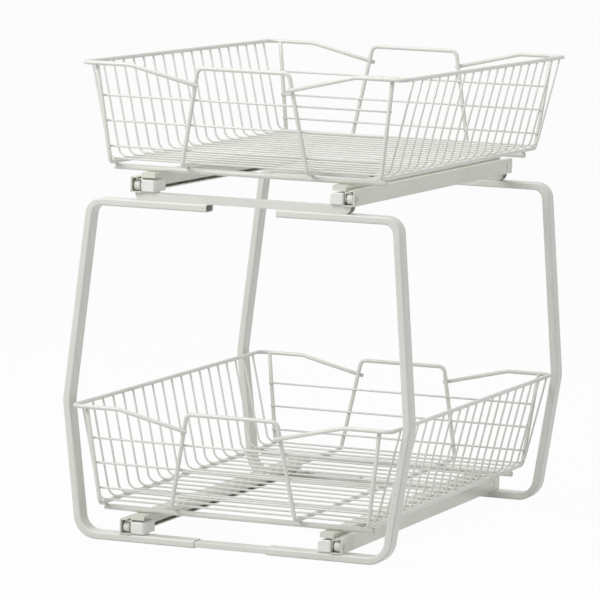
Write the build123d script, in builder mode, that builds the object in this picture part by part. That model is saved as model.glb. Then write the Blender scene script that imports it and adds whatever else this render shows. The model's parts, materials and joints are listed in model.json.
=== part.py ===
from build123d import *
import os
from math import sqrt

os.makedirs("parts", exist_ok=True)

# Two-tier pull-out cabinet basket, in millimetres.
# X runs to the right, Y to the back of the cabinet and Z up. The origin is under the middle,
# on the cabinet floor. A basket pulls out towards -Y.

# ---------------------------------------------------------------- driving dimensions
# frame of four bent flat tubes
tube_thick = 8.0           # seen from the front
tube_depth = 20.0          # along Y
tube_wall = 1.0
tube_corner = 2.0          # outer corner radius of the section
loop_spread = 503.0        # front loop to rear loop, centre to centre
basket_clearance = 5.7     # rim of the lower basket to the tube at the outward kink
top_draw_in = 19.8         # top bend, inside the kink
foot_draw_in = 18.5        # bottom bend, inside the kink
kink_height = 141.7
frame_height = 354.4       # top face of the upper stubs
top_bend = 14.0
kink_bend = 30.0
foot_bend = 21.0
top_stub_end = 38.0        # inner end of an upper stub, from the middle
foot_stub_end = 39.5       # inner end of a lower stub, from the middle

# insert that joins the two lower stubs of a loop
insert_grip = 25.0         # length inside each stub
insert_wall = 1.2
insert_clearance = 0.15

# crossbar that lies on the upper stubs
crossbar_height = 8.0
crossbar_depth = 14.0
crossbar_half = 117.0
crossbar_wall = 1.0
crossbar_end_round = 6.0

# roller slides
rail_front = -262.0        # front end of a fixed rail
rail_rear = 262.0          # rear end of a fixed rail
sheet = 1.2                # thickness of both rails
rail_outer = 121.5         # outer face of a fixed rail, from the middle
lip_gap = 0.85             # moving track to the fixed rail's top flange
rail_base = 12.0           # width of its bottom flange
rail_lip = 7.0             # width of its top flange
rail_hole = 8.0            # round hole in its web, beside the rear axle
foot_reach = 24.0          # from the outer face to the inner end of a mounting foot
foot_length = 16.0
runner_front = -258.0      # front end of a moving rail
runner_rear = 250.0        # rear end of a moving rail
cover_gap = 3.2            # fixed rail to the moving rail's top flange
runner_web_low = 4.0       # lower edge of the moving web, above the bar
runner_gap = 9.1           # moving web to fixed web, clear
runner_top = 14.7          # width of the moving rail's top flange
runner_track = 6.3         # width of the track that runs on the front roller
runner_tab = 5.3           # height of the tab at its front end
slide_travel = 350.0
stop_height = 2.8
stop_width = 5.0

# rollers and their axles
roller_diameter = 10.8
roller_width = 6.5
roller_round = 0.8
roller_hub = 7.0
roller_hub_recess = 0.6
front_roller_y = -254.0
rear_roller_y = 240.0
running_gap = 0.3          # between a roller and what passes it
roller_rise = 0.25         # front rollers above the rear ones
axle_diameter = 4.0
axle_clearance = 0.05      # radial, roller on axle
axle_head = 7.0
axle_head_thick = 1.0
axle_collar = 6.0
axle_collar_thick = 0.7
side_play = 0.2            # roller beside its axle collar
rivet_recess = 4.4         # bore in the head of a front axle

# plastic block beside the front end of each fixed rail
block_width = 13.9
block_length = 32.0
block_height = 13.2
block_round = 4.0
block_edge = 0.8
block_groove = 1.4

# screws through feet, crossbars and tubes
screw_diameter = 3.8
screw_hole = 4.2
screw_head = 7.0
screw_head_height = 2.0
screw_inset = 18.0         # from the rail's outer face to the screw
screw_seat = 4.0           # counterbore floor above the foot
screw_recess = 0.7         # cross recess depth

# baskets
thick_wire = 4.4
thin_wire = 2.2
cross_rod = 6.0
weld_gap = 0.1
rim_width = 348.4          # centre line
rim_depth = 546.0          # centre line
rim_corner = 10.0
basket_depth = 102.0       # rim centre line down to the floor runners
rim_kink = 122.0           # where the rim starts to dip, from the middle
rim_dip = 18.0
rim_dip_bend = 25.0
rim_lap = 5.0              # rim end past the handle leg
wall_gap = 0.5             # rim wire to the handles and posts inside it
front_lean = 13.0          # front wall, rim to floor
rear_lean = 5.6            # rear wall, rim to floor
handle_top_half = 49.2
handle_foot_half = 68.1
handle_bend = 7.0
post_top_inset = 14.2      # top of the posts, inside the rim
floor_inset = 27.2         # outer floor runners, inside the rim
floor_bend = 6.0
side_lean = 22.2           # corner of the thin cross wires, inside the rim
side_bend = 10.0
first_cross_wire = 28.0    # behind the front rim
cross_wire_pitch = 27.6
rear_wire_margin = 15.0    # least room from the last cross wire to the rear rim
wall_wire_drops = (33.2, 59.2, 85.5)   # below the rim centre line
wall_wire_lap = 2.0        # past the post
front_rod_inset = 35.0     # behind the front rim
rear_rod_inset = 51.0      # in front of the rear rim
rod_overhang = 2.2         # past the outer runner's centre line

# ---------------------------------------------------------------- derived places
kink_half_width = rim_width / 2 + thick_wire / 2 + basket_clearance + tube_thick / 2   # tube centre line
top_half_width = kink_half_width - top_draw_in
foot_half_width = kink_half_width - foot_draw_in
lower_base = tube_thick                       # bar that the lower slides lie on
upper_base = frame_height + crossbar_height   # crossbar that the upper slides lie on
loop_places = {"front": -loop_spread / 2, "rear": loop_spread / 2}
tiers = {"lower": lower_base, "upper": upper_base}
sides = {"left": -1, "right": 1}
rail_web_inner = rail_outer - sheet
runner_web_outer = rail_web_inner - runner_gap
rail_inner = rail_outer - rail_base
screw_place = rail_outer - screw_inset
rear_roller_z = sheet + running_gap + roller_diameter / 2
front_roller_z = rear_roller_z + roller_rise
track_under = front_roller_z + roller_diameter / 2 + running_gap
rail_height = track_under + sheet + lip_gap + sheet        # fixed rail
slide_height = rail_height + cover_gap + sheet             # from the bar to the top of the moving rail
rod_center = slide_height + weld_gap + cross_rod / 2
floor_wire_z = slide_height + cross_rod + 2 * weld_gap + thick_wire / 2
thin_floor_z = floor_wire_z + thick_wire / 2 + weld_gap + thin_wire / 2
rim_z = floor_wire_z + basket_depth
rim_front = -rim_depth / 2
rim_rear = rim_depth / 2
wall_inset = thick_wire + wall_gap
post_top_half = rim_width / 2 - post_top_inset
floor_half = rim_width / 2 - floor_inset
side_corner_half = rim_width / 2 - side_lean
cross_wire_count = 1 + int((rim_depth - first_cross_wire - rear_wire_margin) / cross_wire_pitch)


def finish_piece(shape, name):
    shape.label = name
    export_step(shape, f"parts/{name}.step")


def group(pieces, name):
    finish_piece(Compound(label=name, children=pieces), name)


# ---------------------------------------------------------------- shared forms
def bent_wire(route, radii, diameter):
    """A round wire along a route, with one bend radius for each inner point."""
    with BuildPart() as wire:
        with BuildLine():
            line = FilletPolyline(*route, radius=radii) if radii else Line(*route)
        with BuildSketch(Plane(origin=line @ 0, z_dir=line % 0)):
            Circle(diameter / 2)
        sweep()
    return wire.part


def share(drop):
    """How far down the basket wall a drop below the rim lies, 0 at the rim and 1 at the floor."""
    return drop / basket_depth


def front_wall_y(drop):
    return rim_front + wall_inset + front_lean * share(drop)


def rear_wall_y(drop):
    return rim_rear - wall_inset - rear_lean * share(drop)


def handle_half(drop):
    return handle_top_half + (handle_foot_half - handle_top_half) * share(drop)


def post_half(drop):
    return post_top_half + (floor_half - post_top_half) * share(drop)


def rim_half(y):
    """Half width of the rim's centre line at a depth, with its rounded corners."""
    into_corner = abs(y) - (rim_depth / 2 - rim_corner)
    if into_corner <= 0:
        return rim_width / 2
    return rim_width / 2 - rim_corner + sqrt(rim_corner**2 - into_corner**2)


# ---------------------------------------------------------------- frame legs
def frame_leg(side, loop_y):
    """One bent tube: upper stub, bend, leg with its kink, bend, lower stub."""
    top_z = frame_height - tube_thick / 2
    foot_z = tube_thick / 2
    route = [
        (side * top_stub_end, loop_y, top_z),
        (side * top_half_width, loop_y, top_z),
        (side * kink_half_width, loop_y, kink_height),
        (side * foot_half_width, loop_y, foot_z),
        (side * foot_stub_end, loop_y, foot_z),
    ]
    with BuildPart() as leg:
        with BuildLine():
            line = FilletPolyline(*route, radius=[top_bend, kink_bend, foot_bend])
        with BuildSketch(Plane(origin=line @ 0, x_dir=(0, 1, 0), z_dir=line % 0)):
            RectangleRounded(tube_depth, tube_thick, tube_corner)
            RectangleRounded(
                tube_depth - 2 * tube_wall,
                tube_thick - 2 * tube_wall,
                tube_corner - tube_wall,
                mode=Mode.SUBTRACT,
            )
        sweep()
        for bar_top in (frame_height, tube_thick):
            with BuildSketch(Plane.XY.offset(bar_top)):
                with Locations((side * screw_place, loop_y)):
                    Circle(screw_hole / 2)
            extrude(amount=-2 * tube_wall, mode=Mode.SUBTRACT)
    return leg.part


for loop, loop_y in loop_places.items():
    for hand, side in sides.items():
        finish_piece(frame_leg(side, loop_y), f"{loop}_{hand}_leg")


# ---------------------------------------------------------------- inserts in the lower stubs
def stub_insert(loop_y):
    bore_depth = tube_depth - 2 * tube_wall - 2 * insert_clearance
    bore_height = tube_thick - 2 * tube_wall - 2 * insert_clearance
    corner = tube_corner - tube_wall - insert_clearance
    half_length = foot_stub_end + insert_grip
    start = Plane(origin=(-half_length, loop_y, tube_thick / 2), x_dir=(0, 1, 0), z_dir=(1, 0, 0))
    with BuildPart() as insert:
        with BuildSketch(start):
            RectangleRounded(bore_depth, bore_height, corner)
            Rectangle(bore_depth - 2 * insert_wall, bore_height - 2 * insert_wall, mode=Mode.SUBTRACT)
        extrude(amount=2 * half_length)
    return insert.part


group([stub_insert(loop_y) for loop_y in loop_places.values()], "stub_inserts")


# ---------------------------------------------------------------- crossbars
def crossbar(loop_y):
    """A flat tube on the upper stubs, open at its ends, with rounded lower corners."""
    center_z = frame_height + crossbar_height / 2
    with BuildPart() as bar:
        with BuildSketch(Plane(origin=(0, loop_y, center_z), x_dir=(1, 0, 0), z_dir=(0, -1, 0))) as outline:
            Rectangle(2 * crossbar_half, crossbar_height)
            fillet(outline.vertices().group_by(Axis.Y)[0], crossbar_end_round)
        extrude(amount=crossbar_depth / 2, both=True)
        with BuildSketch(Plane(origin=(-crossbar_half, loop_y, center_z), x_dir=(0, 1, 0), z_dir=(1, 0, 0))):
            Rectangle(crossbar_depth - 2 * crossbar_wall, crossbar_height - 2 * crossbar_wall)
        extrude(amount=2 * crossbar_half, mode=Mode.SUBTRACT)
        with BuildSketch(Plane.XY.offset(upper_base)):
            with Locations((-screw_place, loop_y), (screw_place, loop_y)):
                Circle(screw_hole / 2)
        extrude(amount=-crossbar_height, mode=Mode.SUBTRACT)
    return bar.part


for loop, loop_y in loop_places.items():
    finish_piece(crossbar(loop_y), f"{loop}_crossbar")


# ---------------------------------------------------------------- fixed rails
def section_plane(y, base):
    """Plane across the slides, looking back: local x runs to the right and local y up."""
    return Plane(origin=(0, y, base), x_dir=(1, 0, 0), z_dir=(0, -1, 0))


def section_outline(points, side):
    """Closed outline of a rail section, mirrored for the left side."""
    Polyline(*[(side * across, up) for across, up in points], close=True)


def fixed_rail(side, base):
    """C-shaped channel, open inwards, with two mounting feet, a stop and its holes."""
    profile = [
        (rail_inner, 0),
        (rail_outer, 0),
        (rail_outer, rail_height),
        (rail_outer - rail_lip, rail_height),
        (rail_outer - rail_lip, rail_height - sheet),
        (rail_web_inner, rail_height - sheet),
        (rail_web_inner, sheet),
        (rail_inner, sheet),
    ]
    foot_inner = rail_outer - foot_reach
    foot_middle = (foot_inner + rail_inner) / 2
    stop_y = rear_roller_y - slide_travel - roller_diameter / 2
    stop_middle = (runner_web_outer + rail_web_inner) / 2
    with BuildPart() as rail:
        with BuildSketch(section_plane(rail_rear, base)):
            with BuildLine():
                section_outline(profile, side)
            make_face()
        extrude(amount=rail_rear - rail_front)
        with BuildSketch(Plane.XY.offset(base)):
            for loop_y in loop_places.values():
                with Locations((side * foot_middle, loop_y)):
                    Rectangle(rail_inner - foot_inner + 2 * sheet, foot_length)
        extrude(amount=sheet)
        with BuildSketch(Plane.XY.offset(base + sheet)):
            with Locations((side * stop_middle, stop_y - sheet / 2)):
                Rectangle(stop_width, sheet)
        extrude(amount=stop_height)
        with BuildSketch(Plane.XY.offset(base + sheet)):
            for loop_y in loop_places.values():
                with Locations((side * screw_place, loop_y)):
                    Circle(screw_hole / 2)
        extrude(amount=-sheet, mode=Mode.SUBTRACT)
        with BuildSketch(Plane.YZ.offset(side * (rail_web_inner + sheet / 2))):
            with Locations((front_roller_y, base + front_roller_z)):
                Circle(axle_diameter / 2 + axle_clearance)
            with Locations((rear_roller_y, base + rear_roller_z)):
                Circle(rail_hole / 2)
        extrude(amount=sheet, both=True, mode=Mode.SUBTRACT)
    return rail.part


for tier, base in tiers.items():
    for hand, side in sides.items():
        finish_piece(fixed_rail(side, base), f"{tier}_{hand}_fixed_rail")


# ---------------------------------------------------------------- moving rails
def moving_rail(side, base):
    """Web with a track over the front roller and a top flange under the basket."""
    web_inner = runner_web_outer - sheet
    profile = [
        (web_inner, runner_web_low),
        (runner_web_outer, runner_web_low),
        (runner_web_outer, track_under),
        (runner_web_outer + runner_track, track_under),
        (runner_web_outer + runner_track, track_under + sheet),
        (runner_web_outer, track_under + sheet),
        (runner_web_outer, slide_height),
        (runner_web_outer - runner_top, slide_height),
        (runner_web_outer - runner_top, slide_height - sheet),
        (web_inner, slide_height - sheet),
    ]
    tab_middle = runner_web_outer - runner_top / 2
    with BuildPart() as rail:
        with BuildSketch(section_plane(runner_rear, base)):
            with BuildLine():
                section_outline(profile, side)
            make_face()
        extrude(amount=runner_rear - runner_front)
        with BuildSketch(section_plane(runner_front, base)):
            with Locations((side * tab_middle, slide_height - runner_tab / 2)):
                Rectangle(runner_top, runner_tab)
        extrude(amount=-sheet)
        with BuildSketch(Plane.YZ.offset(side * (runner_web_outer - sheet / 2))):
            with Locations((rear_roller_y, base + rear_roller_z)):
                Circle(axle_diameter / 2 + axle_clearance)
        extrude(amount=sheet, both=True, mode=Mode.SUBTRACT)
    return rail.part


for tier, base in tiers.items():
    for hand, side in sides.items():
        finish_piece(moving_rail(side, base), f"{tier}_{hand}_moving_rail")


# ---------------------------------------------------------------- rollers and axles
def across_plane(across, y, z, side):
    """Plane at a distance from the middle, facing outwards on its side."""
    return Plane(origin=(side * across, y, z), x_dir=(0, 1, 0), z_dir=(side, 0, 0))


def roller(side, inner_face, y, z):
    """Nylon roller with rounded rims, a bore and a recess round its hub on both faces."""
    with BuildPart() as wheel:
        with BuildSketch(across_plane(inner_face, y, z, side)):
            Circle(roller_diameter / 2)
        extrude(amount=roller_width)
        fillet(wheel.edges().filter_by(GeomType.CIRCLE), roller_round)
        for face_place in (inner_face, inner_face + roller_width - roller_hub_recess):
            with BuildSketch(across_plane(face_place, y, z, side)):
                Circle(roller_diameter / 2 - 2 * roller_round)
                Circle(roller_hub / 2, mode=Mode.SUBTRACT)
            extrude(amount=roller_hub_recess, mode=Mode.SUBTRACT)
        with BuildSketch(across_plane(inner_face, y, z, side)):
            Circle(axle_diameter / 2 + axle_clearance)
        extrude(amount=roller_width, mode=Mode.SUBTRACT)
    return wheel.part


def axle(side, head_face, direction, y, z, recessed):
    """Rivet with a head outside a web, a shank through it and a collar past the roller."""
    collar_start = sheet + (runner_gap - roller_width) / 2 + roller_width
    plane = Plane(origin=(side * head_face, y, z), x_dir=(0, 1, 0), z_dir=(side * direction, 0, 0))
    with BuildPart() as rivet:
        with BuildSketch(plane):
            Circle(axle_head / 2)
        extrude(amount=-axle_head_thick)
        with BuildSketch(plane):
            Circle(axle_diameter / 2)
        extrude(amount=collar_start + side_play)
        with BuildSketch(plane.offset(collar_start + side_play)):
            Circle(axle_collar / 2)
        extrude(amount=axle_collar_thick)
        if recessed:
            with BuildSketch(plane.offset(-axle_head_thick)):
                Circle(rivet_recess / 2)
            extrude(amount=axle_head_thick / 2, mode=Mode.SUBTRACT)
    return rivet.part


roller_inner = runner_web_outer + (runner_gap - roller_width) / 2
for tier, base in tiers.items():
    for hand, side in sides.items():
        front = roller(side, roller_inner, front_roller_y, base + front_roller_z)
        rear = roller(side, roller_inner, rear_roller_y, base + rear_roller_z)
        finish_piece(front, f"{tier}_{hand}_front_roller")
        finish_piece(rear, f"{tier}_{hand}_rear_roller")
    group(
        [axle(side, rail_outer, -1, front_roller_y, base + front_roller_z, True) for side in sides.values()],
        f"{tier}_front_axles",
    )
    group(
        [
            axle(side, runner_web_outer - sheet, 1, rear_roller_y, base + rear_roller_z, False)
            for side in sides.values()
        ],
        f"{tier}_rear_axles",
    )


# ---------------------------------------------------------------- front blocks
def front_block(side, base):
    """Plastic block on the front foot, with a rounded inner top edge and a screw seat."""
    block_outer = rail_inner - weld_gap
    block_inner = block_outer - block_width
    outline = [
        (block_inner, sheet),
        (block_outer, sheet),
        (block_outer, block_height),
        (block_inner, block_height),
    ]
    middle_y = rail_front + block_length / 2
    with BuildPart() as block:
        with BuildSketch(section_plane(rail_front, base)) as face:
            with BuildLine():
                section_outline(outline, side)
            make_face()
            fillet(face.vertices().group_by(Axis.Y)[-1].sort_by(Axis.X)[0 if side > 0 else -1], block_round)
        extrude(amount=-block_length)
        chamfer(block.faces().sort_by(Axis.Y)[0].edges(), block_edge)
        with BuildSketch(Plane.XY.offset(base + block_height)):
            with Locations((side * (block_outer - block_groove), middle_y)):
                Rectangle(block_groove, block_length - 4 * block_groove)
        extrude(amount=-block_groove, mode=Mode.SUBTRACT)
        with Locations(Plane(origin=(side * screw_place, loop_places["front"], base + block_height))):
            CounterBoreHole(
                radius=screw_hole / 2,
                counter_bore_radius=screw_head / 2 + weld_gap,
                counter_bore_depth=block_height - sheet - screw_seat,
                depth=block_height,
            )
    return block.part


for tier, base in tiers.items():
    group([front_block(side, base) for side in sides.values()], f"{tier}_front_blocks")


# ---------------------------------------------------------------- screws
def pan_screw(side, y, seat, length):
    """Pan-head screw with a domed head and a cross recess, pointing down from its seat."""
    with BuildPart() as screw:
        with BuildSketch(Plane(origin=(side * screw_place, y, seat), x_dir=(1, 0, 0), z_dir=(0, 0, 1))):
            Circle(screw_head / 2)
        extrude(amount=screw_head_height)
        fillet(screw.edges().filter_by(GeomType.CIRCLE).sort_by(Axis.Z)[-1], screw_head_height / 2)
        with BuildSketch(Plane(origin=(side * screw_place, y, seat), x_dir=(1, 0, 0), z_dir=(0, 0, 1))):
            Circle(screw_diameter / 2)
        extrude(amount=-length)
        with BuildSketch(Plane(origin=(side * screw_place, y, seat + screw_head_height), z_dir=(0, 0, 1))):
            Rectangle(screw_head / 2, screw_recess)
            Rectangle(screw_recess, screw_head / 2)
        extrude(amount=-screw_recess, mode=Mode.SUBTRACT)
    return screw.part


def tier_screws(base, grip):
    """Four screws of a tier: through the blocks at the front, on the feet at the rear."""
    screws = []
    block_seat = sheet + screw_seat
    for side in sides.values():
        screws.append(pan_screw(side, loop_places["front"], base + block_seat, block_seat + grip))
        screws.append(pan_screw(side, loop_places["rear"], base + sheet, sheet + grip))
    return screws


group(tier_screws(lower_base, 3 * tube_wall), "lower_rail_screws")
group(tier_screws(upper_base, crossbar_height + 3 * tube_wall), "upper_rail_screws")


# ---------------------------------------------------------------- baskets
def rim_wire(side, base):
    """Half of the rim: dips to a handle leg at the front and at the rear and leans in with it."""
    level = base + rim_z
    end_half = handle_half(rim_dip) - rim_lap
    route = [
        (side * end_half, front_wall_y(rim_dip) - wall_inset, level - rim_dip),
        (side * rim_kink, rim_front, level),
        (side * rim_width / 2, rim_front, level),
        (side * rim_width / 2, rim_rear, level),
        (side * rim_kink, rim_rear, level),
        (side * end_half, rear_wall_y(rim_dip) + wall_inset, level - rim_dip),
    ]
    return bent_wire(route, [rim_dip_bend, rim_corner, rim_corner, rim_dip_bend], thick_wire)


def handle_wire(base):
    """One wire: front handle, two floor runners and rear handle, butt-joined under the floor."""
    top = base + rim_z
    low = base + floor_wire_z
    front_top, front_foot = front_wall_y(0), front_wall_y(basket_depth)
    rear_top, rear_foot = rear_wall_y(0), rear_wall_y(basket_depth)
    route = [
        (handle_foot_half, weld_gap / 2, low),
        (handle_foot_half, rear_foot, low),
        (handle_top_half, rear_top, top),
        (-handle_top_half, rear_top, top),
        (-handle_foot_half, rear_foot, low),
        (-handle_foot_half, front_foot, low),
        (-handle_top_half, front_top, top),
        (handle_top_half, front_top, top),
        (handle_foot_half, front_foot, low),
        (handle_foot_half, -weld_gap / 2, low),
    ]
    radii = 2 * [floor_bend, handle_bend, handle_bend, floor_bend]
    return bent_wire(route, radii, thick_wire)


def post_wire(side, base):
    """Front corner post, outer floor runner and rear corner post in one wire."""
    top = base + rim_z
    low = base + floor_wire_z
    route = [
        (side * post_top_half, front_wall_y(0), top),
        (side * floor_half, front_wall_y(basket_depth), low),
        (side * floor_half, rear_wall_y(basket_depth), low),
        (side * post_top_half, rear_wall_y(0), top),
    ]
    return bent_wire(route, [floor_bend, floor_bend], thick_wire)


def cross_wires(base):
    """Thin wires, each down one side wall, across the floor and up the other."""
    top = base + rim_z - thick_wire / 2 - weld_gap
    low = base + thin_floor_z
    wires = []
    for place in range(cross_wire_count):
        y = rim_front + first_cross_wire + place * cross_wire_pitch
        half = rim_half(y)
        route = [(-half, y, top), (-side_corner_half, y, low), (side_corner_half, y, low), (half, y, top)]
        wires.append(bent_wire(route, [side_bend, side_bend], thin_wire))
    return wires


def wall_wires(base, wall_y, inward):
    """Thin level wires on the inner side of the posts and handle legs of one wall."""
    wires = []
    for drop in wall_wire_drops:
        half = post_half(drop) + wall_wire_lap
        y = wall_y(drop) + inward * (thick_wire / 2 + thin_wire / 2 + weld_gap)
        z = base + rim_z - drop
        wires.append(bent_wire([(-half, y, z), (half, y, z)], None, thin_wire))
    return wires


def floor_rod(y, base):
    half = floor_half + rod_overhang
    z = base + rod_center
    return bent_wire([(-half, y, z), (half, y, z)], None, cross_rod)


for tier, base in tiers.items():
    for hand, side in sides.items():
        finish_piece(rim_wire(side, base), f"{tier}_{hand}_rim")
        finish_piece(post_wire(side, base), f"{tier}_{hand}_posts")
    finish_piece(handle_wire(base), f"{tier}_handle_loop")
    group(cross_wires(base), f"{tier}_cross_wires")
    group(wall_wires(base, front_wall_y, 1), f"{tier}_front_wires")
    group(wall_wires(base, rear_wall_y, -1), f"{tier}_rear_wires")
    finish_piece(floor_rod(rim_front + front_rod_inset, base), f"{tier}_front_rod")
    finish_piece(floor_rod(rim_rear - rear_rod_inset, base), f"{tier}_rear_rod")
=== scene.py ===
import json
import random
from math import acos, cos, pi, radians, sin, sqrt, tan

import bmesh
import bpy
from mathutils import Matrix, Vector, noise


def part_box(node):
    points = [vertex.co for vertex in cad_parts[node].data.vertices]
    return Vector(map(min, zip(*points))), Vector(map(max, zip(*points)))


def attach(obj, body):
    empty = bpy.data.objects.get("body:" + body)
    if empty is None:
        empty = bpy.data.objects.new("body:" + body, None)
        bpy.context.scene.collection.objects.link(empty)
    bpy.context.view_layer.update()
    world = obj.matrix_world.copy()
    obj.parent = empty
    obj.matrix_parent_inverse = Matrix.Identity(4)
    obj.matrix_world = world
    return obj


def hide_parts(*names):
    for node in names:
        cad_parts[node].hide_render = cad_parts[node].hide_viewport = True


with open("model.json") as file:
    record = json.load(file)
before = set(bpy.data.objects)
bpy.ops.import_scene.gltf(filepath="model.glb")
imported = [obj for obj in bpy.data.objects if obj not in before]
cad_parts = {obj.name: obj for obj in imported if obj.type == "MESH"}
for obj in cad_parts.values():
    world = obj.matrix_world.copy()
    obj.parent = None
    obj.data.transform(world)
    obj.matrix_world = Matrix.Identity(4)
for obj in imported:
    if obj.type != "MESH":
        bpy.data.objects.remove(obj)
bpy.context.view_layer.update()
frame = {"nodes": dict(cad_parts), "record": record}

MM = 0.001
TIERS = ("lower", "upper")
HANDS = {"left": -1, "right": 1}

# ---------------------------------------------------------------- basket sizes, in metres
THICK = 4.4 * MM              # rim, handle, post and runner wire
THIN = 2.2 * MM               # cross wires and wall wires
ROD = 6.0 * MM                # rods under the floor
WELD_GAP = 0.1 * MM
RIM_KINK = 122.0 * MM         # where the rim starts to dip, from the middle
RIM_DIP = 18.0 * MM
RIM_DIP_BEND = 25.0 * MM
RIM_CORNER = 10.0 * MM
RIM_LAP = 5.0 * MM            # rim end past the handle leg
WALL_INSET = 4.9 * MM         # handles and posts inside the rim
FRONT_LEAN = 13.0 * MM
REAR_LEAN = 5.6 * MM
HANDLE_TOP_HALF = 49.2 * MM
HANDLE_FOOT_HALF = 68.1 * MM
HANDLE_BEND = 7.0 * MM
POST_TOP_HALF = 160.0 * MM
POST_FOOT_HALF = 147.0 * MM
FLOOR_BEND = 6.0 * MM
SIDE_FOOT_HALF = 152.0 * MM
SIDE_BEND = 10.0 * MM
CROSS_WIRES = 19
FIRST_CROSS_WIRE = 28.0 * MM  # behind the front rim
CROSS_WIRE_PITCH = 27.6 * MM
WALL_WIRE_DROPS = (33.2 * MM, 59.2 * MM, 85.5 * MM)
WALL_WIRE_LAP = 2.0 * MM

# ---------------------------------------------------------------- wire meshes and welds
WIRE_SIDES = 20
THIN_SIDES = 12
END_DOME = 0.35               # how far a wire's end bulges, as a share of its radius
CROSSING_WELD = 0.9 * MM      # radius, thin wire on a runner, post or handle leg
RIM_WELD = 1.0 * MM           # cross wire under the rim
HANDLE_WELD = 1.7 * MM        # rim end on a handle leg
POST_WELD = 1.6 * MM          # rim on the top of a post
HANDLE_WELD_RISE = 0.4 * MM
POST_WELD_DROP = 0.6 * MM
WELD_STRETCH = (1.15, 1.15, 0.9)
WELD_UNEVEN = 0.16
WELD_SEED = 7
SEED_RANGE = 50

# ---------------------------------------------------------------- camera, from the photograph
AZIMUTH, ELEVATION, ROLL = radians(20.0), radians(6.327), radians(2.016)
LENS = 282.3                  # millimetres on a 36 mm sensor
DISTANCE = 5.005
SHIFT_RIGHT, SHIFT_UP = -26.2 * MM, -257.1 * MM   # view centre from the middle of the upper rim

# ---------------------------------------------------------------- light and floor
LAMPS = (                     # name, place, target, size, power in watts
    ("key", (-1.2, -1.9, 2.1), (0, 0, 0.3), (1.5, 1.5), 46),
    ("top", (0.2, 0.4, 2.8), (0, 0, 0.25), (2.2, 2.2), 20),
    ("edge", (2.9, -1.2, 1.0), (0, 0, 0.3), (0.4, 1.4), 8),
)
FLOOR_SIZE = 14.0
FLOOR_LIFT = 3.5              # radius of the sweep behind the object
FLOOR_FLAT = 0.32             # flat part behind the middle, as a share of the size
FLOOR_DROP = 0.2 * MM         # below the feet
WORLD_STRENGTH = 0.37
BACKDROP_WHITE = 1.0
SKY_WHITE = 0.98              # as bright as the floor looks at the horizon
BACKDROP_SHARE = 0.96         # of plain white in the floor, where the camera or a reflection sees it


# ================================================================ materials
def new_material(name):
    material = bpy.data.materials.new(name)
    material.use_nodes = True
    return material, material.node_tree.nodes, material.node_tree.links


def coordinates(nodes, links, scale):
    """Object coordinates in metres, scaled for a texture."""
    place = nodes.new("ShaderNodeTexCoord")
    mapping = nodes.new("ShaderNodeMapping")
    mapping.inputs["Scale"].default_value = (scale, scale, scale)
    links.new(place.outputs["Object"], mapping.inputs["Vector"])
    return mapping.outputs["Vector"]


def noise_field(nodes, links, scale, detail):
    field = nodes.new("ShaderNodeTexNoise")
    field.inputs["Scale"].default_value = 1.0
    field.inputs["Detail"].default_value = detail
    links.new(coordinates(nodes, links, scale), field.inputs["Vector"])
    return field.outputs["Fac"]


def ramp(nodes, links, field, low, high):
    """Two colours over the middle of a noise field."""
    colours = nodes.new("ShaderNodeValToRGB")
    colours.color_ramp.elements[0].position = 0.3
    colours.color_ramp.elements[0].color = (*low, 1)
    colours.color_ramp.elements[1].position = 0.7
    colours.color_ramp.elements[1].color = (*high, 1)
    links.new(field, colours.inputs["Fac"])
    return colours.outputs["Color"]


def spread(nodes, links, field, low, high):
    """A noise field mapped to a range of numbers."""
    mapped = nodes.new("ShaderNodeMapRange")
    mapped.inputs["To Min"].default_value = low
    mapped.inputs["To Max"].default_value = high
    links.new(field, mapped.inputs["Value"])
    return mapped.outputs["Result"]


def bump(nodes, links, field, height, strength, base=None):
    relief = nodes.new("ShaderNodeBump")
    relief.inputs["Distance"].default_value = height
    relief.inputs["Strength"].default_value = strength
    links.new(field, relief.inputs["Height"])
    if base:
        links.new(base, relief.inputs["Normal"])
    return relief.outputs["Normal"]


def powder_coat(name, light, dark, peel, edge):
    """Baked powder coat: cloudy tint, orange peel, uneven gloss and coat-rounded edges."""
    material, nodes, links = new_material(name)
    shader = nodes["Principled BSDF"]
    cloud = noise_field(nodes, links, 14.0, 4.0)
    speck = noise_field(nodes, links, 900.0, 2.0)
    orange_peel = noise_field(nodes, links, peel, 3.0)
    links.new(ramp(nodes, links, cloud, dark, light), shader.inputs["Base Color"])
    links.new(spread(nodes, links, speck, 0.34, 0.48), shader.inputs["Roughness"])
    rounded = nodes.new("ShaderNodeBevel")
    rounded.samples = 4
    rounded.inputs["Radius"].default_value = edge
    links.new(
        bump(nodes, links, orange_peel, 0.04 * MM, 0.35, rounded.outputs["Normal"]), shader.inputs["Normal"]
    )
    shader.inputs["Specular IOR Level"].default_value = 0.45
    shader.inputs["Coat Weight"].default_value = 0.5
    shader.inputs["Coat Roughness"].default_value = 0.14
    return material


def moulded_nylon(name, light, dark):
    """Milky moulded nylon with flow marks and a fine matt grain."""
    material, nodes, links = new_material(name)
    shader = nodes["Principled BSDF"]
    flow = noise_field(nodes, links, 70.0, 3.0)
    grain = noise_field(nodes, links, 1600.0, 2.0)
    links.new(ramp(nodes, links, flow, dark, light), shader.inputs["Base Color"])
    links.new(spread(nodes, links, grain, 0.42, 0.58), shader.inputs["Roughness"])
    links.new(bump(nodes, links, grain, 0.02 * MM, 0.3), shader.inputs["Normal"])
    shader.inputs["Subsurface Weight"].default_value = 0.12
    shader.inputs["Subsurface Radius"].default_value = (1.5 * MM, 1.4 * MM, 1.2 * MM)
    return material


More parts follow.
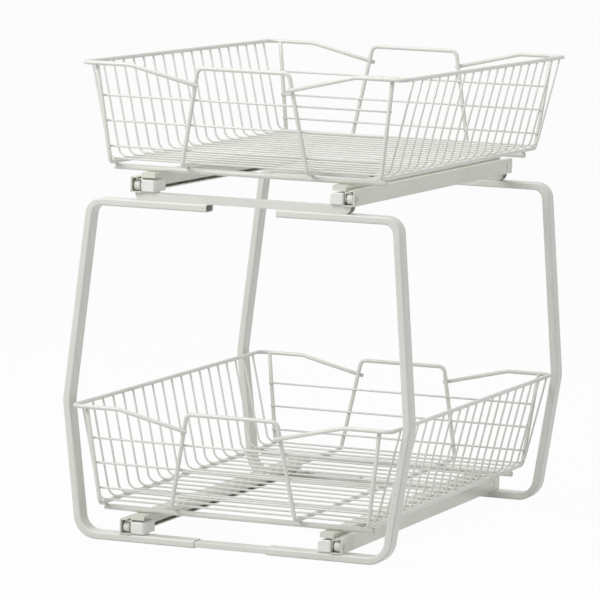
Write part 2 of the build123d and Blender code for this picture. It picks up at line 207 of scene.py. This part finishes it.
def plated_steel(name, light, dark):
    """Dull zinc plate: blotchy tint and fine turning marks."""
    material, nodes, links = new_material(name)
    shader = nodes["Principled BSDF"]
    blotch = noise_field(nodes, links, 260.0, 3.0)
    marks = noise_field(nodes, links, 2400.0, 1.0)
    links.new(ramp(nodes, links, blotch, dark, light), shader.inputs["Base Color"])
    links.new(spread(nodes, links, marks, 0.28, 0.44), shader.inputs["Roughness"])
    links.new(bump(nodes, links, marks, 0.01 * MM, 0.4), shader.inputs["Normal"])
    shader.inputs["Metallic"].default_value = 1.0
    return material


def seen_directly(nodes, links):
    """1 for camera, glossy and transmission rays, 0 for the rest."""
    path = nodes.new("ShaderNodeLightPath")
    seen = path.outputs["Is Camera Ray"]
    for kind in ("Is Glossy Ray", "Is Transmission Ray"):
        either = nodes.new("ShaderNodeMath")
        either.operation = "MAXIMUM"
        links.new(seen, either.inputs[0])
        links.new(path.outputs[kind], either.inputs[1])
        seen = either.outputs[0]
    return seen


def backdrop_paper(name):
    """Floor that the camera and reflections see as white, with the object's soft shadow kept."""
    material, nodes, links = new_material(name)
    shader = nodes["Principled BSDF"]
    shader.inputs["Roughness"].default_value = 0.9
    fibre = noise_field(nodes, links, 6.0, 3.0)
    links.new(ramp(nodes, links, fibre, (0.60, 0.60, 0.60), (0.64, 0.64, 0.64)), shader.inputs["Base Color"])
    white = nodes.new("ShaderNodeEmission")
    white.inputs["Color"].default_value = (1, 1, 1, 1)
    white.inputs["Strength"].default_value = BACKDROP_WHITE
    share = nodes.new("ShaderNodeMath")
    share.operation = "MULTIPLY"
    share.inputs[1].default_value = BACKDROP_SHARE
    links.new(seen_directly(nodes, links), share.inputs[0])
    mix = nodes.new("ShaderNodeMixShader")
    links.new(share.outputs[0], mix.inputs["Fac"])
    links.new(shader.outputs["BSDF"], mix.inputs[1])
    links.new(white.outputs["Emission"], mix.inputs[2])
    links.new(mix.outputs["Shader"], nodes["Material Output"].inputs["Surface"])
    return material


WIRE_COAT = powder_coat("wire_coat", (0.81, 0.82, 0.765), (0.75, 0.76, 0.705), 420.0, 0.2 * MM)
TUBE_COAT = powder_coat("tube_coat", (0.78, 0.79, 0.735), (0.72, 0.73, 0.675), 300.0, 0.3 * MM)
RAIL_COAT = powder_coat("rail_coat", (0.78, 0.785, 0.70), (0.72, 0.725, 0.64), 360.0, 0.25 * MM)
NYLON = moulded_nylon("roller_nylon", (0.84, 0.84, 0.80), (0.78, 0.78, 0.74))
BLOCK = moulded_nylon("block_plastic", (0.90, 0.91, 0.88), (0.85, 0.86, 0.83))
STEEL = plated_steel("axle_steel", (0.62, 0.62, 0.60), (0.48, 0.48, 0.47))
SLOT_MATERIALS = {
    "wire_coating": WIRE_COAT,
    "tube_coating": TUBE_COAT,
    "rail_coating": RAIL_COAT,
    "nylon_roller": NYLON,
    "block_plastic": BLOCK,
    "plated_steel": STEEL,
}


# ================================================================ mesh helpers
def rounded_route(points, radii, step=radians(5)):
    """The points of a route with an arc at each inner point."""
    path = [Vector(points[0])]
    for before, here, after, radius in zip(points, points[1:], points[2:], radii):
        here = Vector(here)
        to_before = (Vector(before) - here).normalized()
        to_after = (Vector(after) - here).normalized()
        turn = pi - acos(max(-1.0, min(1.0, to_before.dot(to_after))))
        middle = (to_before + to_after).normalized()
        centre = here + middle * (radius / cos(turn / 2))
        start = here + to_before * (radius * tan(turn / 2)) - centre
        axis = start.cross(here + to_after * (radius * tan(turn / 2)) - centre).normalized()
        steps = max(3, round(turn / step))
        path += [centre + Matrix.Rotation(turn * i / steps, 3, axis) @ start for i in range(steps + 1)]
    return path + [Vector(points[-1])]


def add_tube(mesh, path, radius, sides, closed=False):
    """A round wire along a path, with domed ends unless it is closed."""
    count = len(path)
    normal = None
    rings = []
    for i, point in enumerate(path):
        ahead = path[(i + 1) % count] if closed or i < count - 1 else point
        behind = path[i - 1] if closed or i > 0 else point
        tangent = (ahead - behind).normalized()
        if normal is None:
            normal = tangent.orthogonal().normalized()
        normal = (normal - tangent * normal.dot(tangent)).normalized()
        side = tangent.cross(normal)
        rings.append((point, tangent, normal, side, radius))
    if not closed:
        dome = [(END_DOME * sin(a), cos(a)) for a in (radians(30), radians(60))]
        first, last = rings[0], rings[-1]
        inset = END_DOME * radius
        rings[0] = (first[0] + first[1] * inset, *first[1:])
        rings[-1] = (last[0] - last[1] * inset, *last[1:])
        start, end = rings[0][0], rings[-1][0]
        head = [(start - first[1] * out * radius, *first[1:4], radius * narrow) for out, narrow in dome]
        head.reverse()
        tail = [(end + last[1] * out * radius, *last[1:4], radius * narrow) for out, narrow in dome]
        rings = head + rings + tail
    loops = []
    turns = [2 * pi * k / sides for k in range(sides)]
    for point, _tangent, across, side, size in rings:
        loops.append([mesh.verts.new(point + (across * cos(a) + side * sin(a)) * size) for a in turns])
    pairs = list(zip(loops, loops[1:]))
    if closed:
        pairs.append((loops[-1], loops[0]))
    for one, two in pairs:
        for k in range(sides):
            mesh.faces.new((one[k], one[(k + 1) % sides], two[(k + 1) % sides], two[k]))
    if not closed:
        mesh.faces.new(list(reversed(loops[0])))
        mesh.faces.new(loops[-1])


def add_weld(mesh, point, radius, seed):
    """A small coated weld nugget, flattened and uneven."""
    made = bmesh.ops.create_icosphere(mesh, subdivisions=2, radius=radius)["verts"]
    for vert in made:
        uneven = 1 + WELD_UNEVEN * noise.noise(vert.co / radius * 1.3 + Vector((seed, 0, 0)))
        vert.co = vert.co * Vector(WELD_STRETCH) * uneven + point


def finish_mesh(name, mesh, material, slot, body, *nodes):
    """Turns a bmesh into a smooth piece that rides on a body."""
    bmesh.ops.recalc_face_normals(mesh, faces=mesh.faces)
    data = bpy.data.meshes.new(name)
    mesh.to_mesh(data)
    mesh.free()
    for face in data.polygons:
        face.use_smooth = True
    data.materials.append(material)
    piece = bpy.data.objects.new(name, data)
    bpy.context.scene.collection.objects.link(piece)
    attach(piece, body)
    if nodes:
        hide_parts(*nodes)
    return piece


# ================================================================ baskets
class Basket:
    """Places of one basket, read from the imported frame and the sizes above."""

    def __init__(self, tier):
        self.tier = tier
        self.body = f"{tier}_basket"
        loop_low, loop_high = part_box(f"{tier}_handle_loop")
        rim_low, rim_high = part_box(f"{tier}_right_rim")
        self.top = loop_high.z - THICK / 2
        self.low = loop_low.z + THICK / 2
        self.rim_front = rim_low.y + THICK / 2
        self.rim_rear = rim_high.y - THICK / 2
        self.rim_half = rim_high.x - THICK / 2
        self.depth = self.top - self.low

    def front(self, drop):
        return self.rim_front + WALL_INSET + FRONT_LEAN * drop / self.depth

    def rear(self, drop):
        return self.rim_rear - WALL_INSET - REAR_LEAN * drop / self.depth

    def handle_half(self, drop):
        return HANDLE_TOP_HALF + (HANDLE_FOOT_HALF - HANDLE_TOP_HALF) * drop / self.depth

    def post_half(self, drop):
        return POST_TOP_HALF + (POST_FOOT_HALF - POST_TOP_HALF) * drop / self.depth

    def side_half(self, y):
        into_corner = abs(y) - ((self.rim_rear - self.rim_front) / 2 - RIM_CORNER)
        if into_corner <= 0:
            return self.rim_half
        return self.rim_half - RIM_CORNER + sqrt(RIM_CORNER**2 - into_corner**2)

    def cross_places(self):
        return [self.rim_front + FIRST_CROSS_WIRE + i * CROSS_WIRE_PITCH for i in range(CROSS_WIRES)]


def make_rim(basket, hand, side):
    end_half = basket.handle_half(RIM_DIP) - RIM_LAP
    corners = [
        (side * end_half, basket.front(RIM_DIP) - WALL_INSET, basket.top - RIM_DIP),
        (side * RIM_KINK, basket.rim_front, basket.top),
        (side * basket.rim_half, basket.rim_front, basket.top),
        (side * basket.rim_half, basket.rim_rear, basket.top),
        (side * RIM_KINK, basket.rim_rear, basket.top),
        (side * end_half, basket.rear(RIM_DIP) + WALL_INSET, basket.top - RIM_DIP),
    ]
    radii = [RIM_DIP_BEND, RIM_CORNER, RIM_CORNER, RIM_DIP_BEND]
    mesh = bmesh.new()
    add_tube(mesh, rounded_route(corners, radii), THICK / 2, WIRE_SIDES)
    node = f"{basket.tier}_{hand}_rim"
    finish_mesh(f"{node}_wire", mesh, WIRE_COAT, "wire_coating", basket.body, node)


def make_posts(basket, hand, side):
    corners = [
        (side * POST_TOP_HALF, basket.front(0), basket.top),
        (side * POST_FOOT_HALF, basket.front(basket.depth), basket.low),
        (side * POST_FOOT_HALF, basket.rear(basket.depth), basket.low),
        (side * POST_TOP_HALF, basket.rear(0), basket.top),
    ]
    mesh = bmesh.new()
    add_tube(mesh, rounded_route(corners, [FLOOR_BEND, FLOOR_BEND]), THICK / 2, WIRE_SIDES)
    node = f"{basket.tier}_{hand}_posts"
    finish_mesh(f"{node}_wire", mesh, WIRE_COAT, "wire_coating", basket.body, node)


def make_handle(basket):
    """Closed wire loop through both handles and along the floor."""
    foot_front, foot_rear = basket.front(basket.depth), basket.rear(basket.depth)
    corners = [
        (HANDLE_FOOT_HALF, 0, basket.low),
        (HANDLE_FOOT_HALF, foot_rear, basket.low),
        (HANDLE_TOP_HALF, basket.rear(0), basket.top),
        (-HANDLE_TOP_HALF, basket.rear(0), basket.top),
        (-HANDLE_FOOT_HALF, foot_rear, basket.low),
        (-HANDLE_FOOT_HALF, foot_front, basket.low),
        (-HANDLE_TOP_HALF, basket.front(0), basket.top),
        (HANDLE_TOP_HALF, basket.front(0), basket.top),
        (HANDLE_FOOT_HALF, foot_front, basket.low),
        (HANDLE_FOOT_HALF, 0, basket.low),
    ]
    radii = [FLOOR_BEND, HANDLE_BEND, HANDLE_BEND, FLOOR_BEND] * 2
    mesh = bmesh.new()
    add_tube(mesh, rounded_route(corners, radii)[:-1], THICK / 2, WIRE_SIDES, closed=True)
    node = f"{basket.tier}_handle_loop"
    finish_mesh(f"{node}_wire", mesh, WIRE_COAT, "wire_coating", basket.body, node)


def make_cross_wires(basket):
    top = basket.top - THICK / 2 - WELD_GAP
    low = basket.low + THICK / 2 + WELD_GAP + THIN / 2
    mesh = bmesh.new()
    for y in basket.cross_places():
        half = basket.side_half(y)
        corners = [(-half, y, top), (-SIDE_FOOT_HALF, y, low), (SIDE_FOOT_HALF, y, low), (half, y, top)]
        add_tube(mesh, rounded_route(corners, [SIDE_BEND, SIDE_BEND]), THIN / 2, THIN_SIDES)
    node = f"{basket.tier}_cross_wires"
    finish_mesh(f"{node}_smooth", mesh, WIRE_COAT, "wire_coating", basket.body, node)


def make_wall_wires(basket, end, wall, inward):
    mesh = bmesh.new()
    for drop in WALL_WIRE_DROPS:
        half = basket.post_half(drop) + WALL_WIRE_LAP
        y = wall(drop) + inward * (THICK / 2 + THIN / 2 + WELD_GAP)
        ends = [Vector((side * half, y, basket.top - drop)) for side in (-1, 1)]
        add_tube(mesh, ends, THIN / 2, THIN_SIDES)
    node = f"{basket.tier}_{end}_wires"
    finish_mesh(f"{node}_smooth", mesh, WIRE_COAT, "wire_coating", basket.body, node)


def make_rod(basket, end):
    node = f"{basket.tier}_{end}_rod"
    low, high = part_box(node)
    y, z = (low.y + high.y) / 2, (low.z + high.z) / 2
    mesh = bmesh.new()
    add_tube(mesh, [Vector((low.x, y, z)), Vector((high.x, y, z))], ROD / 2, WIRE_SIDES)
    finish_mesh(f"{node}_smooth", mesh, WIRE_COAT, "wire_coating", basket.body, node)


def make_welds(basket):
    """Nuggets where thin wires cross the rim, the runners, the posts and the handle legs."""
    seeds = random.Random(WELD_SEED)
    mesh = bmesh.new()

    def weld(x, y, z, radius):
        add_weld(mesh, Vector((x, y, z)), radius, seeds.random() * SEED_RANGE)

    floor = basket.low + THICK / 2 + WELD_GAP / 2
    under_rim = basket.top - THICK / 2 - WELD_GAP / 2
    for y in basket.cross_places():
        for side in HANDS.values():
            for half in (HANDLE_FOOT_HALF, POST_FOOT_HALF):
                weld(side * half, y, floor, CROSSING_WELD)
            weld(side * basket.side_half(y), y, under_rim, RIM_WELD)
    for wall, inward in ((basket.front, 1), (basket.rear, -1)):
        for drop in WALL_WIRE_DROPS:
            y = wall(drop) + inward * (THICK / 2 + WELD_GAP / 2)
            for side in HANDS.values():
                for half in (basket.handle_half(drop), basket.post_half(drop)):
                    weld(side * half, y, basket.top - drop, CROSSING_WELD)
        at_handle = wall(RIM_DIP) - inward * WALL_INSET / 2
        at_post = wall(0) - inward * WALL_INSET / 2
        for side in HANDS.values():
            handle_x = side * basket.handle_half(RIM_DIP)
            weld(handle_x, at_handle, basket.top - RIM_DIP + HANDLE_WELD_RISE, HANDLE_WELD)
            weld(side * POST_TOP_HALF, at_post, basket.top - POST_WELD_DROP, POST_WELD)
    finish_mesh(f"{basket.tier}_welds", mesh, WIRE_COAT, "wire_coating", basket.body)


for tier in TIERS:
    basket = Basket(tier)
    for hand, side in HANDS.items():
        make_rim(basket, hand, side)
        make_posts(basket, hand, side)
    make_handle(basket)
    make_cross_wires(basket)
    make_wall_wires(basket, "front", basket.front, 1)
    make_wall_wires(basket, "rear", basket.rear, -1)
    make_rod(basket, "front")
    make_rod(basket, "rear")
    make_welds(basket)


# ================================================================ finishes of the frame, slides and rollers
node_slots = {part["node"]: part["material_slot"] for part in frame["record"]["subparts"]}
for node, obj in frame["nodes"].items():
    material = SLOT_MATERIALS[node_slots[node]]
    for slot in obj.material_slots:
        slot.material = material


# ================================================================ floor, light and camera
def make_floor():
    """Flat floor that curves up behind the object."""
    flat = FLOOR_SIZE * FLOOR_FLAT
    mesh = bmesh.new()
    rows = [(-FLOOR_SIZE / 2, 0.0), (flat, 0.0)]
    for angle in (radians(degree) for degree in range(5, 91, 5)):
        rows.append((flat + FLOOR_LIFT * sin(angle), FLOOR_LIFT * (1 - cos(angle))))
    rows.append((flat + FLOOR_LIFT, FLOOR_LIFT * 2))
    columns = (-FLOOR_SIZE / 2, FLOOR_SIZE / 2)
    grid = [[mesh.verts.new((x, y, z - FLOOR_DROP)) for x in columns] for y, z in rows]
    for one, two in zip(grid, grid[1:]):
        mesh.faces.new((one[0], one[1], two[1], two[0]))
    data = bpy.data.meshes.new("sweep")
    mesh.to_mesh(data)
    mesh.free()
    for face in data.polygons:
        face.use_smooth = True
    data.materials.append(backdrop_paper("backdrop"))
    floor = bpy.data.objects.new("sweep", data)
    bpy.context.scene.collection.objects.link(floor)


def make_lamp(name, place, target, size, power):
    lamp = bpy.data.lights.new(name, "AREA")
    lamp.shape = "RECTANGLE"
    lamp.size, lamp.size_y = size
    lamp.energy = power
    obj = bpy.data.objects.new(name, lamp)
    obj.location = place
    obj.rotation_mode = "QUATERNION"
    obj.rotation_quaternion = (Vector(target) - Vector(place)).to_track_quat("-Z", "Y")
    bpy.context.scene.collection.objects.link(obj)


def make_world():
    world = bpy.data.worlds.new("studio")
    world.use_nodes = True
    nodes, links = world.node_tree.nodes, world.node_tree.links
    strength = nodes.new("ShaderNodeMapRange")
    strength.inputs["To Min"].default_value = WORLD_STRENGTH
    strength.inputs["To Max"].default_value = SKY_WHITE
    links.new(seen_directly(nodes, links), strength.inputs["Value"])
    links.new(strength.outputs["Result"], nodes["Background"].inputs["Strength"])
    nodes["Background"].inputs["Color"].default_value = (1, 1, 1, 1)
    bpy.context.scene.world = world


def make_camera():
    """Camera at the photograph's place, rolled a little clockwise."""
    back = Vector((sin(AZIMUTH) * cos(ELEVATION), -cos(AZIMUTH) * cos(ELEVATION), sin(ELEVATION)))
    right = Vector((cos(AZIMUTH), sin(AZIMUTH), 0))
    up = back.cross(right)
    camera = bpy.data.cameras.new("camera")
    camera.sensor_width = 36.0
    camera.lens = LENS
    camera.clip_start, camera.clip_end = 0.1, 50.0
    obj = bpy.data.objects.new("camera", camera)
    middle = Vector((0, 0, Basket("upper").top))
    rolled_right = right * cos(ROLL) + up * sin(ROLL)
    rolled_up = -right * sin(ROLL) + up * cos(ROLL)
    turn = Matrix((rolled_right, rolled_up, back)).transposed().to_4x4()
    turn.translation = middle + back * DISTANCE + right * SHIFT_RIGHT + up * SHIFT_UP
    obj.matrix_world = turn
    bpy.context.scene.collection.objects.link(obj)
    bpy.context.scene.camera = obj


make_floor()
for lamp_values in LAMPS:
    make_lamp(*lamp_values)
make_world()
make_camera()
bpy.context.scene.view_settings.view_transform = "Standard"
